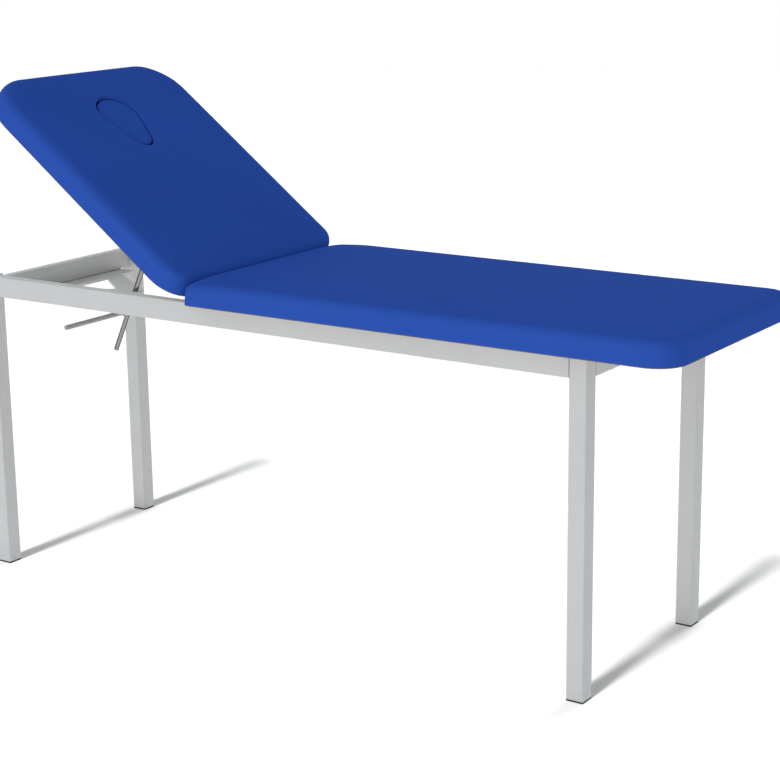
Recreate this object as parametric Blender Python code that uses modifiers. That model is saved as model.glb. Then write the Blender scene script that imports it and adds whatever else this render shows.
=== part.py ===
"""Two-section examination couch.

A welded frame on four square legs carries a fixed leg section and a backrest. The backrest turns on two
clevis hinges. A rod hangs from a slotted track under it, slides through a guide on the frame, and is held
there by a brake plate that a hand lever lifts. A plug fills the face hole of the backrest.

Metres, +Z up, +X towards the foot end, +Y to the lying person's left. The origin is on the floor, under
the middle of the couch as it stands with its backrest raised.
"""

import math

import bmesh
import bpy
from mathutils import Matrix

# Whole couch
FRAME_LENGTH = 1.670
FRAME_WIDTH = 0.550
FRAME_HEIGHT = 0.735
FOOT_OVERHANG = 0.1985
HINGE_FROM_HEAD = 0.647
BACKREST_LENGTH = 0.728
BACKREST_ANGLE = math.radians(36.8)
BACKREST_HIGHEST = math.radians(52)

# Gaps between pieces that touch, that slide and that lie loosely in each other
FIT_GAP = 0.0003
RUNNING_GAP = 0.0003
LOOSE_GAP = 0.0015

# Legs and their plastic caps
LEG_SIDE = 0.040
LEG_WALL = 0.002
LEG_CORNER = 0.003
CAP_FLANGE = 0.004
CAP_CHAMFER = 0.001
CAP_PLUG_LENGTH = 0.022

# Rails and crossbars, rectangular tube
RAIL_HEIGHT = 0.050
RAIL_WIDTH = 0.025
TUBE_WALL = 0.002
TUBE_CORNER = 0.003
CROSSBAR_HEIGHT = 0.040

# Cushions and the boards that they wrap
PAD_WIDTH = 0.614
PAD_THICKNESS = 0.057
PAD_TOP_EDGE = 0.032
PAD_LOWER_EDGE = 0.002
PAD_CROWN = 0.004
PAD_DRAW = 0.003
PAD_LEAST_CORNER = 0.004
SEAT_SETBACK = 0.0205
SEAT_HINGE_CORNER = 0.024
SEAT_FOOT_CORNER = 0.065
BACKREST_SETBACK = 0.013
BACKREST_HINGE_CORNER = 0.068
BACKREST_HEAD_CORNER = 0.112
BOARD_THICKNESS = 0.015
BOARD_INSET = 0.015

# Face hole, a drop outline with its wide end towards the head, and its plug
HOLE_FROM_HINGE = 0.558
HOLE_WIDE_RADIUS = 0.060
HOLE_NARROW_RADIUS = 0.034
HOLE_CENTRES = 0.084
HOLE_LEDGE = 0.012
PLUG_BASE = 0.006
PLUG_EDGE = 0.008
PLUG_SUNK = 0.008

# Hinges
HINGE_SPREAD = 0.205
HINGE_EYE = 0.011
HINGE_PIN_RADIUS = 0.005
HINGE_HEAD_RADIUS = 0.008
HINGE_HEAD_HEIGHT = 0.003
LUG_THICKNESS = 0.005
LUG_DROP = 0.030
LUG_REACH = 0.018
TONGUE_THICKNESS = 0.006

# Backrest steelwork, solid flat bar
BEARER_WIDTH = 0.030
BEARER_HEIGHT = 0.012
BEARER_START = 0.020
BEARER_END = 0.665
BEARER_CLEARANCE = 0.001
STRAP_INNER = 0.290
STRAP_OUTER = 0.430

# Slotted track under the backrest and the rod that hangs in it
TRACK_DROP = 0.040
TRACK_SPREAD = 0.020
TRACK_PLATE = 0.005
TRACK_LIP = 0.004
TRACK_PLAY = 0.0005
ROLLER_RADIUS = 0.007
TRACK_PIN_RADIUS = 0.004
CLIP_THICKNESS = 0.0015
CLIP_RADIUS = 0.0065
ROD_RADIUS = 0.006
ROD_TILT = math.radians(25)
ROD_PER_RADIAN = 0.348
ROD_TAIL = 0.115
FORK_WIDTH = 0.022
FORK_DEPTH = 0.024
FORK_ABOVE_PIN = 0.010
FORK_BELOW_PIN = 0.020
FORK_SOCKET = 0.013
STOP_PIN_RADIUS = 0.0015
STOP_PIN_LENGTH = 0.018
STOP_PIN_FROM_END = 0.006

# Bracket under the head rail
BRACKET_THICKNESS = 0.006
BRACKET_HALF_WIDTH = 0.205
BRACKET_BASE = 0.075
BRACKET_ARM = 0.045
BRACKET_OPENING = 0.094
BRACKET_APEX = 0.194
BRACKET_NOSE = 0.022
BRACKET_BOLT_SPREAD = 0.110

# Rod guide, brake plate and hand lever
BRAKE_FROM_HEAD = 0.230
BRAKE_BELOW_BRACKET = 0.0469
GUIDE_SIDE = 0.028
GUIDE_START = 0.016
BRAKE_THICKNESS = 0.006
BRAKE_HALF_WIDTH = 0.013
BRAKE_REACH = 0.030
BRAKE_EYE = 0.007
LEVER_PIVOT = 0.028
LEVER_PIN_RADIUS = 0.003
LEVER_RADIUS = 0.006
LEVER_END = 0.227
LEVER_ROUND = 0.0015
BRAKE_LUG_THICKNESS = 0.004
BRAKE_LUG_EYE = 0.008
SPRING_RADIUS = 0.010
SPRING_WIRE = 0.0008
SPRING_TURNS = 4

# Screws and bolts
SCREW_RADIUS = 0.003
SCREW_HEAD_RADIUS = 0.006
SCREW_HEAD = 0.0035
SCREW_BITE = 0.010
SEAT_SCREW_SPREAD = 0.150
BOLT_RADIUS = 0.004
BOLT_HEAD_FLATS = 0.0065
BOLT_HEAD = 0.0055
BOLT_THROUGH = 0.008
BACKREST_SCREWS = (0.120, 0.600)

# Facets
ROUND_STEPS = 24
CORNER_STEPS = 6
TUBE_STEPS = 3
SIDE_STEPS = 6
EDGE_STEPS = 4
CURL_POINTS = 10
WELD = 1e-5

# Places worked out from the sizes
HEAD_END_X = -(FRAME_LENGTH + FOOT_OVERHANG) / 2
FOOT_END_X = HEAD_END_X + FRAME_LENGTH
DECK_Z = FRAME_HEIGHT + FIT_GAP
HINGE_X = HEAD_END_X + HINGE_FROM_HEAD
BRAKE_X = HEAD_END_X + BRAKE_FROM_HEAD
LEG_FOOT_Z = CAP_FLANGE + FIT_GAP
INNER_WIDTH = FRAME_WIDTH - 2 * RAIL_WIDTH
HEAD_RAIL_TOP = DECK_Z - FIT_GAP - BEARER_HEIGHT - BEARER_CLEARANCE
BRACKET_TOP = HEAD_RAIL_TOP - RAIL_HEIGHT - FIT_GAP
BRAKE_HEIGHT = BRACKET_TOP - BRACKET_THICKNESS - BRAKE_BELOW_BRACKET
HINGE_BAR_X = HINGE_X + LUG_REACH + RAIL_WIDTH / 2
FOOT_RAIL_X = FOOT_END_X - RAIL_WIDTH / 2
SEAT_BAR_X = (HINGE_BAR_X + FOOT_RAIL_X) / 2
SEAT_START = HINGE_X + SEAT_SETBACK
SEAT_END = FOOT_END_X + FOOT_OVERHANG
SIDES = (("right", -1), ("left", 1))
ENDS = (("head", HEAD_END_X, 1), ("foot", FOOT_END_X, -1))
TURN = {
    "X": Matrix(((0, 0, 1), (1, 0, 0), (0, 1, 0))).to_4x4(),
    "Y": Matrix(((1, 0, 0), (0, 0, -1), (0, 1, 0))).to_4x4(),
    "Z": Matrix.Identity(4),
}


def at(x, y, z, along="Z"):
    """A place, with the piece's own Z axis turned along X, Y or Z."""
    return Matrix.Translation((x, y, z)) @ TURN[along]


def new_collection(name):
    collection = bpy.data.collections.new(name)
    bpy.context.scene.collection.children.link(collection)
    return collection


def new_finish(name, colour, roughness, metallic=0.0):
    finish = bpy.data.materials.new(name)
    finish.use_nodes = True
    shader = finish.node_tree.nodes["Principled BSDF"]
    shader.inputs["Base Color"].default_value = (*colour, 1)
    shader.inputs["Roughness"].default_value = roughness
    shader.inputs["Metallic"].default_value = metallic
    return finish


def new_axis(name, x, z, turn):
    """An empty on a joint's axis, turned about Y."""
    axis = bpy.data.objects.new(name, None)
    couch.objects.link(axis)
    axis.matrix_basis = Matrix.Translation((x, 0, z)) @ Matrix.Rotation(turn, 4, "Y")
    return axis


def add_piece(name, mesh, finish, place, parent=None):
    mesh.name = name
    mesh.materials.append(finish)
    piece = bpy.data.objects.new(name, mesh)
    couch.objects.link(piece)
    piece.parent = parent
    piece.matrix_basis = place
    return piece


def cut(piece, mesh, place, parent=None):
    """Takes a hidden cutter's shape out of a piece."""
    cutter = bpy.data.objects.new(piece.name + "_cutter", mesh)
    cutters.objects.link(cutter)
    cutter.parent = parent
    cutter.matrix_basis = place
    cutter.hide_render = True
    cutter.display_type = "WIRE"
    boolean = piece.modifiers.new("cut", "BOOLEAN")
    boolean.operation = "DIFFERENCE"
    boolean.object = cutter


def shade_round(mesh):
    mesh.shade_smooth()
    mesh.set_sharp_from_angle(angle=math.radians(40))


def mesh_from(bm, name="mesh"):
    mesh = bpy.data.meshes.new(name)
    bm.to_mesh(mesh)
    bm.free()
    return mesh


def arc(x, y, radius, start, end, steps):
    """Points of an arc about (x, y), from one angle to another in degrees."""
    angles = [math.radians(start + (end - start) * i / steps) for i in range(steps + 1)]
    return [(x + radius * math.cos(a), y + radius * math.sin(a)) for a in angles]


def circle(x, y, radius, steps=ROUND_STEPS):
    return arc(x, y, radius, 0, 360, steps)[:-1]


def rounded_rectangle(length, width, corner, steps):
    points = []
    for quarter in range(4):
        x = (length / 2 - corner) * (1 if quarter in (0, 3) else -1)
        y = (width / 2 - corner) * (1 if quarter in (0, 1) else -1)
        points += arc(x, y, corner, 90 * quarter, 90 * quarter + 90, steps)
    return points


def drop_outline(from_hinge, grow):
    """The face hole's outline, larger by grow: two arcs and the straight sides that touch both."""
    wide = HOLE_WIDE_RADIUS + grow
    narrow = HOLE_NARROW_RADIUS + grow
    lean = math.degrees(math.asin((wide - narrow) / HOLE_CENTRES))
    wide_end = arc(-from_hinge, 0, wide, 90 - lean, 270 + lean, 2 * CORNER_STEPS)
    narrow_end = arc(HOLE_CENTRES - from_hinge, 0, narrow, lean - 90, 90 - lean, 2 * CORNER_STEPS)
    return wide_end + narrow_end


def flat_mesh(loops, thickness, edge=0.0):
    """A flat outline with its holes, given a thickness about its own XY plane and rounded edges."""
    curve = bpy.data.curves.new("outline", "CURVE")
    curve.dimensions = "2D"
    curve.fill_mode = "BOTH"
    curve.extrude = thickness / 2 - edge
    curve.bevel_depth = edge
    curve.offset = -edge
    curve.bevel_resolution = 1
    for loop in loops:
        spline = curve.splines.new("POLY")
        spline.points.add(len(loop) - 1)
        spline.use_cyclic_u = True
        for point, (x, y) in zip(spline.points, loop):
            point.co = (x, y, 0, 1)
    outline = bpy.data.objects.new("outline", curve)
    bpy.context.scene.collection.objects.link(outline)
    graph = bpy.context.evaluated_depsgraph_get()
    mesh = bpy.data.meshes.new_from_object(outline.evaluated_get(graph))
    bpy.data.objects.remove(outline)
    bm = bmesh.new()
    bm.from_mesh(mesh)
    bmesh.ops.remove_doubles(bm, verts=bm.verts, dist=WELD)
    bmesh.ops.recalc_face_normals(bm, faces=bm.faces)
    bm.to_mesh(mesh)
    bm.free()
    return mesh


def tube_mesh(width, height, length):
    """A rectangular tube along its own Z axis, open at both ends."""
    outer = rounded_rectangle(width, height, TUBE_CORNER, TUBE_STEPS)
    inner_corner = TUBE_CORNER - TUBE_WALL
    inner = rounded_rectangle(width - 2 * TUBE_WALL, height - 2 * TUBE_WALL, inner_corner, TUBE_STEPS)
    return flat_mesh((outer, inner), length)


def round_mesh(radius, length):
    bm = bmesh.new()
    bmesh.ops.create_cone(
        bm, cap_ends=True, segments=ROUND_STEPS, radius1=radius, radius2=radius, depth=length
    )
    mesh = mesh_from(bm)
    shade_round(mesh)
    return mesh


def block_mesh(x, y, z):
    bm = bmesh.new()
    bmesh.ops.create_cube(bm)
    bmesh.ops.scale(bm, vec=(x, y, z), verts=bm.verts)
    return mesh_from(bm)


def loft_mesh(rings):
    """A closed skin over rings with as many points each, flat at both ends."""
    bm = bmesh.new()
    loops = [[bm.verts.new(point) for point in ring] for ring in rings]
    for lower, upper in zip(loops, loops[1:]):
        for i, corner in enumerate(lower):
            j = (i + 1) % len(lower)
            bm.faces.new((corner, lower[j], upper[j], upper[i]))
    bm.faces.new(reversed(loops[0]))
    bm.faces.new(loops[-1])
    bmesh.ops.recalc_face_normals(bm, faces=bm.faces)
    mesh = mesh_from(bm)
    shade_round(mesh)
    return mesh


def turned_mesh(profile):
    """A turned piece about its own Z axis, from (radius, height) pairs."""
    return loft_mesh([[(x, y, z) for x, y in circle(0, 0, radius)] for radius, z in profile])


def screw_mesh(bite):
    """A screw along +Z: its head lies below z = 0 and its shank runs up to z = bite."""
    round_off = SCREW_HEAD / 3
    return turned_mesh(
        (
            (SCREW_HEAD_RADIUS - round_off, -SCREW_HEAD),
            (SCREW_HEAD_RADIUS, round_off - SCREW_HEAD),
            (SCREW_HEAD_RADIUS, 0),
            (SCREW_RADIUS, 0),
            (SCREW_RADIUS, bite),
        )
    )


def bolt_mesh(reach):
    """A hexagon bolt along +Z: its head lies below z = 0 and its shank runs up to z = reach."""
    hexagon = []
    for i in range(ROUND_STEPS):
        angle = 2 * math.pi * i / ROUND_STEPS
        from_flat = (angle + math.pi / 6) % (math.pi / 3) - math.pi / 6
        radius = BOLT_HEAD_FLATS / math.cos(from_flat)
        hexagon.append((radius * math.cos(angle), radius * math.sin(angle)))
    rings = [[(x, y, z) for x, y in hexagon] for z in (-BOLT_HEAD, 0)]
    rings += [[(x, y, z) for x, y in circle(0, 0, BOLT_RADIUS)] for z in (0, reach)]
    return loft_mesh(rings)


def pad_outline(length, corners, inset):
    """A cushion's corners, one after the other, moved inwards. Its -X and +X ends have their own radii."""
    points = []
    for quarter in range(4):
        end, x_sign = (1, 1) if quarter in (0, 3) else (0, -1)
        y_sign = 1 if quarter in (0, 1) else -1
        radius = max(corners[end] - inset, PAD_LEAST_CORNER)
        x = x_sign * (length / 2 - inset - radius)
        y = y_sign * (PAD_WIDTH / 2 - inset - radius)
        points += arc(x, y, radius, 90 * quarter, 90 * quarter + 90, CORNER_STEPS)
    return points


def cushion_ring(length, corner_radii, inset, height, draw):
    """One level of a cushion: its outline, with the straight sides drawn in at their middles."""
    corners = pad_outline(length, corner_radii, inset)
    per_corner = CORNER_STEPS + 1
    points = []
    for quarter in range(4):
        arc_points = corners[quarter * per_corner : (quarter + 1) * per_corner]
        points += arc_points
        start = arc_points[-1]
        end = corners[(quarter + 1) % 4 * per_corner]
        outwards = math.radians(90 * quarter + 90)
        for step in range(1, SIDE_STEPS):
            t = step / SIDE_STEPS
            sag = draw * 4 * t * (1 - t)
            x = start[0] + (end[0] - start[0]) * t - sag * math.cos(outwards)
            y = start[1] + (end[1] - start[1]) * t - sag * math.sin(outwards)
            points.append((x, y))
    return [(x, y, height) for x, y in points]


def cushion_mesh(length, corner_radii):
    """An upholstered cushion: a pocket below for its board, rounded edges and a crowned top."""
    pocket = BOARD_INSET - FIT_GAP
    shoulder = PAD_THICKNESS - PAD_CROWN
    levels = [(pocket, BOARD_THICKNESS + FIT_GAP, 0), (pocket, 0, 0)]
    for step in range(EDGE_STEPS):
        turn = math.radians(-90 + 90 * step / EDGE_STEPS)
        inset = PAD_LOWER_EDGE * (1 - math.cos(turn))
        levels.append((inset, PAD_LOWER_EDGE * (1 + math.sin(turn)), PAD_DRAW))
    for step in range(EDGE_STEPS + 1):
        turn = math.radians(90 * step / EDGE_STEPS)
        inset = PAD_TOP_EDGE * (1 - math.cos(turn))
        levels.append((inset, shoulder - PAD_TOP_EDGE * (1 - math.sin(turn)), PAD_DRAW))
    rings = [cushion_ring(length, corner_radii, *level) for level in levels]
    for share in (0.75, 0.4):
        height = shoulder + PAD_CROWN * (1 - share**2)
        rings.append([(x * share, y * share, height) for x, y, z in rings[len(levels) - 1]])
    return loft_mesh(rings)


def board_mesh(length, corner_radii):
    return flat_mesh((pad_outline(length, corner_radii, BOARD_INSET),), BOARD_THICKNESS)


def rod_pin_height(tilt):
    """How far up the rod's line, from the brake, the middle of the track lies at a backrest tilt."""
    across = (BRAKE_X - HINGE_X) * math.sin(tilt) + (BRAKE_HEIGHT - DECK_Z) * math.cos(tilt)
    return -(TRACK_DROP + across) / math.cos(tilt - ROD_TILT)


def track_window():
    """The box that the roller's middle needs in the flat backrest's frame: low and high x, low and high z."""
    places = []
    steps = 40
    for i in range(steps + 1):
        tilt = BACKREST_HIGHEST * i / steps
        along_rod = rod_pin_height(BACKREST_ANGLE) + ROD_PER_RADIAN * (tilt - BACKREST_ANGLE)
        x = BRAKE_X + along_rod * math.sin(ROD_TILT) - HINGE_X
        z = BRAKE_HEIGHT + along_rod * math.cos(ROD_TILT) - DECK_Z
        places.append((x * math.cos(tilt) - z * math.sin(tilt), x * math.sin(tilt) + z * math.cos(tilt)))
    xs, zs = zip(*places)
    return min(xs), max(xs), min(zs), max(zs)


def make_legs():
    for end, x_end, inwards in ENDS:
        for side, sign in SIDES:
            x = x_end + inwards * LEG_SIDE / 2
            y = sign * (FRAME_WIDTH - LEG_SIDE) / 2
            height = FRAME_HEIGHT - LEG_FOOT_Z
            bm = bmesh.new()
            bmesh.ops.create_cube(bm)
            bmesh.ops.scale(bm, vec=(LEG_SIDE, LEG_SIDE, height), verts=bm.verts)
            upright = [e for e in bm.edges if abs(e.verts[0].co.z - e.verts[1].co.z) > height / 2]
            bmesh.ops.bevel(
                bm, geom=upright, offset=LEG_CORNER, segments=TUBE_STEPS, profile=0.5, affect="EDGES"
            )
            below = [face for face in bm.faces if face.normal.z < -0.5]
            bmesh.ops.delete(bm, geom=below, context="FACES_ONLY")
            leg = add_piece(f"leg_{end}_{side}", mesh_from(bm), grey_paint, at(x, y, LEG_FOOT_Z + height / 2))
            wall = leg.modifiers.new("wall", "SOLIDIFY")
            wall.thickness = LEG_WALL
            wall.offset = -1
            wall.use_even_offset = True
            make_foot_cap(f"foot_cap_{end}_{side}", x, y)


def make_foot_cap(name, x, y):
    """A flange under the leg and a plug inside it."""
    plug = LEG_SIDE - 2 * LEG_WALL - 2 * FIT_GAP
    levels = (
        (LEG_SIDE - 2 * CAP_CHAMFER, 0),
        (LEG_SIDE, CAP_CHAMFER),
        (LEG_SIDE, CAP_FLANGE),
        (plug, CAP_FLANGE),
        (plug, CAP_FLANGE + CAP_PLUG_LENGTH - CAP_CHAMFER),
        (plug - 2 * CAP_CHAMFER, CAP_FLANGE + CAP_PLUG_LENGTH),
    )
    rings = []
    for side, z in levels:
        corner = LEG_CORNER * side / LEG_SIDE
        rings.append([(px, py, z) for px, py in rounded_rectangle(side, side, corner, TUBE_STEPS)])
    add_piece(name, loft_mesh(rings), black_plastic, at(x, y, 0))


def make_rails():
    rail_z = FRAME_HEIGHT - RAIL_HEIGHT / 2
    length = FRAME_LENGTH - 2 * LEG_SIDE - 2 * FIT_GAP
    for side, sign in SIDES:
        y = sign * (FRAME_WIDTH - RAIL_WIDTH) / 2
        rail = tube_mesh(RAIL_WIDTH, RAIL_HEIGHT, length)
        add_piece(f"side_rail_{side}", rail, grey_paint, at((HEAD_END_X + FOOT_END_X) / 2, y, rail_z, "X"))
    across = FRAME_WIDTH - 2 * LEG_SIDE - 2 * FIT_GAP
    head_x = HEAD_END_X + RAIL_WIDTH / 2
    head_z = HEAD_RAIL_TOP - RAIL_HEIGHT / 2
    head_rail = tube_mesh(RAIL_WIDTH, RAIL_HEIGHT, across)
    head_rail = add_piece("head_rail", head_rail, grey_paint, at(head_x, 0, head_z, "Y"))
    for side, sign in SIDES:
        hole = round_mesh(BOLT_RADIUS + FIT_GAP, 4 * TUBE_WALL)
        cut(head_rail, hole, at(head_x, sign * BRACKET_BOLT_SPREAD, HEAD_RAIL_TOP - RAIL_HEIGHT))
    foot_rail = tube_mesh(RAIL_WIDTH, RAIL_HEIGHT, across)
    foot_rail = add_piece("foot_rail", foot_rail, grey_paint, at(FOOT_RAIL_X, 0, rail_z, "Y"))
    add_seat_screws("foot_rail_screw", foot_rail, FOOT_RAIL_X, RAIL_HEIGHT)


def make_crossbars():
    length = INNER_WIDTH - 2 * FIT_GAP
    z = FRAME_HEIGHT - CROSSBAR_HEIGHT / 2
    hinge_bar = tube_mesh(RAIL_WIDTH, CROSSBAR_HEIGHT, length)
    add_piece("hinge_crossbar", hinge_bar, grey_paint, at(HINGE_BAR_X, 0, z, "Y"))
    seat_bar = tube_mesh(RAIL_WIDTH, CROSSBAR_HEIGHT, length)
    seat_bar = add_piece("seat_crossbar", seat_bar, grey_paint, at(SEAT_BAR_X, 0, z, "Y"))
    add_seat_screws("seat_screw", seat_bar, SEAT_BAR_X, CROSSBAR_HEIGHT)


def add_seat_screws(name, bar, x, height):
    """Two screws up through a bar of this height, into the board of the leg section."""
    below = FRAME_HEIGHT - height - FIT_GAP
    for side, sign in SIDES:
        y = sign * SEAT_SCREW_SPREAD
        cut(bar, round_mesh(SCREW_RADIUS + FIT_GAP, 4 * height), at(x, y, FRAME_HEIGHT))
        add_piece(f"{name}_{side}", screw_mesh(DECK_Z + SCREW_BITE - below), zinc, at(x, y, below))


def make_seat():
    length = SEAT_END - SEAT_START
    middle = (SEAT_START + SEAT_END) / 2
    corners = (SEAT_HINGE_CORNER, SEAT_FOOT_CORNER)
    add_piece("seat_pad", cushion_mesh(length, corners), blue_vinyl, at(middle, 0, DECK_Z))
    board_place = at(middle, 0, DECK_Z + BOARD_THICKNESS / 2)
    board = add_piece("seat_board", board_mesh(length, corners), plywood, board_place)
    for x in (SEAT_BAR_X, FOOT_RAIL_X):
        for side, sign in SIDES:
            hole = round_mesh(SCREW_RADIUS + FIT_GAP, 2 * (SCREW_BITE + FIT_GAP))
            cut(board, hole, at(x, sign * SEAT_SCREW_SPREAD, DECK_Z))


def make_hinges():
    """Two lugs on the frame, a tongue on the backrest and a headed pin between them, on each side."""
    bore = circle(0, 0, HINGE_PIN_RADIUS + RUNNING_GAP)
    lug_end = LUG_REACH - FIT_GAP
    lug = arc(0, 0, HINGE_EYE, 40, 270, 2 * CORNER_STEPS)
    lug += [(0, -LUG_DROP), (lug_end, -LUG_DROP), (lug_end, -FIT_GAP)]
    tongue_end = FIT_GAP - BEARER_START
    tongue = arc(0, 0, HINGE_EYE, 180, -90, 2 * CORNER_STEPS)
    tongue += [(tongue_end, -FIT_GAP - BEARER_HEIGHT), (tongue_end, -FIT_GAP)]
    lug_offset = (TONGUE_THICKNESS + LUG_THICKNESS) / 2 + RUNNING_GAP
    half_width = lug_offset + LUG_THICKNESS / 2 + FIT_GAP
    for side, sign in SIDES:
        y = sign * HINGE_SPREAD
        for face, shift in (("inner", -sign), ("outer", sign)):
            plate = flat_mesh((lug, bore), LUG_THICKNESS)
            place = at(HINGE_X, y + shift * lug_offset, DECK_Z, "Y")
            add_piece(f"hinge_lug_{side}_{face}", plate, grey_paint, place)
        plate = flat_mesh((tongue, bore), TONGUE_THICKNESS)
        add_piece(f"hinge_tongue_{side}", plate, grey_paint, at(0, y, 0, "Y"), backrest_axis)
        pin = turned_mesh(
            (
                (HINGE_HEAD_RADIUS, -half_width - HINGE_HEAD_HEIGHT),
                (HINGE_HEAD_RADIUS, -half_width),
                (HINGE_PIN_RADIUS, -half_width),
                (HINGE_PIN_RADIUS, half_width + HINGE_HEAD_HEIGHT),
            )
        )
        add_piece(f"hinge_pin_{side}", pin, zinc, at(HINGE_X, y, DECK_Z, "Y"))


def make_backrest():
    length = BACKREST_LENGTH - BACKREST_SETBACK
    middle = -(BACKREST_LENGTH + BACKREST_SETBACK) / 2
    corners = (BACKREST_HEAD_CORNER, BACKREST_HINGE_CORNER)
    cushion = cushion_mesh(length, corners)
    pad = add_piece("backrest_pad", cushion, blue_vinyl, at(middle, 0, 0), backrest_axis)
    through = 4 * PAD_THICKNESS
    cut(pad, flat_mesh((drop_outline(HOLE_FROM_HINGE, 0),), through), at(0, 0, 0), backrest_axis)
    board_place = at(middle, 0, BOARD_THICKNESS / 2)
    board = add_piece("backrest_board", board_mesh(length, corners), plywood, board_place, backrest_axis)
    ledge = flat_mesh((drop_outline(HOLE_FROM_HINGE, -HOLE_LEDGE),), through)
    cut(board, ledge, at(0, 0, 0), backrest_axis)
    bar_z = -FIT_GAP - BEARER_HEIGHT / 2
    bar_length = BEARER_END - BEARER_START
    below = -FIT_GAP - BEARER_HEIGHT - FIT_GAP
    for side, sign in SIDES:
        y = sign * HINGE_SPREAD
        bar = block_mesh(bar_length, BEARER_WIDTH, BEARER_HEIGHT)
        bar_place = at(-(BEARER_START + BEARER_END) / 2, y, bar_z)
        bar = add_piece(f"bearer_{side}", bar, grey_paint, bar_place, backrest_axis)
        for number, x in enumerate(BACKREST_SCREWS, 1):
            hole = round_mesh(SCREW_RADIUS + FIT_GAP, 4 * BEARER_HEIGHT)
            cut(bar, hole, at(-x, y, bar_z), backrest_axis)
            hole = round_mesh(SCREW_RADIUS + FIT_GAP, 2 * (SCREW_BITE + FIT_GAP))
            cut(board, hole, at(-x, y, 0), backrest_axis)
            screw = screw_mesh(SCREW_BITE - below)
            add_piece(f"backrest_screw_{number}_{side}", screw, zinc, at(-x, y, below), backrest_axis)
    strap_length = 2 * HINGE_SPREAD - BEARER_WIDTH - 2 * FIT_GAP
    for name, x in (("inner", STRAP_INNER), ("outer", STRAP_OUTER)):
        strap = block_mesh(BEARER_WIDTH, strap_length, BEARER_HEIGHT)
        add_piece(f"cross_strap_{name}", strap, grey_paint, at(-x, 0, bar_z), backrest_axis)


def make_plug():
    """The face hole's plug: a small board on the hole's ledge, and the cushion on it."""
    base_z = BOARD_THICKNESS + FIT_GAP
    outline = drop_outline(HOLE_FROM_HINGE, -LOOSE_GAP)
    base = flat_mesh((outline,), PLUG_BASE)
    add_piece("plug_base", base, plywood, at(0, 0, base_z + PLUG_BASE / 2), backrest_axis)
    foot = base_z + PLUG_BASE + FIT_GAP
    levels = [(0, foot)]
    for step in range(EDGE_STEPS + 1):
        turn = math.radians(90 * step / EDGE_STEPS)
        top = PAD_THICKNESS - PLUG_SUNK - PLUG_EDGE * (1 - math.sin(turn))
        levels.append((PLUG_EDGE * (1 - math.cos(turn)), top))
    rings = []
    for inset, z in levels:
        rings.append([(x, y, z) for x, y in drop_outline(HOLE_FROM_HINGE, -LOOSE_GAP - inset)])
    add_piece("plug_pad", loft_mesh(rings), blue_vinyl, at(0, 0, 0), backrest_axis)


def make_track():
    """Two slotted plates between the cross straps, in which the rod's rollers run."""
    low_x, high_x, low_z, high_z = track_window()
    room = ROLLER_RADIUS + TRACK_PLAY
    slot_x = (low_x + high_x) / 2
    slot_z = (low_z + high_z) / 2
    slot_height = high_z - low_z + 2 * room
    slot_length = high_x - low_x + 2 * room
    slot = [
        (slot_x + x, slot_z + z)
        for x, z in rounded_rectangle(slot_length, slot_height, TRACK_PLAY + ROLLER_RADIUS / 2, CORNER_STEPS)
    ]
    start = -STRAP_OUTER + BEARER_WIDTH / 2 + FIT_GAP
    end = -STRAP_INNER - BEARER_WIDTH / 2 - FIT_GAP
    foot = slot_z - slot_height / 2 - TRACK_LIP
    plate = [(start, foot), (end, foot), (end, -FIT_GAP), (start, -FIT_GAP)]
    for side, sign in SIDES:
        mesh = flat_mesh((plate, slot), TRACK_PLATE)
        add_piece(f"track_plate_{side}", mesh, grey_paint, at(0, sign * TRACK_SPREAD, 0, "Y"), backrest_axis)


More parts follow.
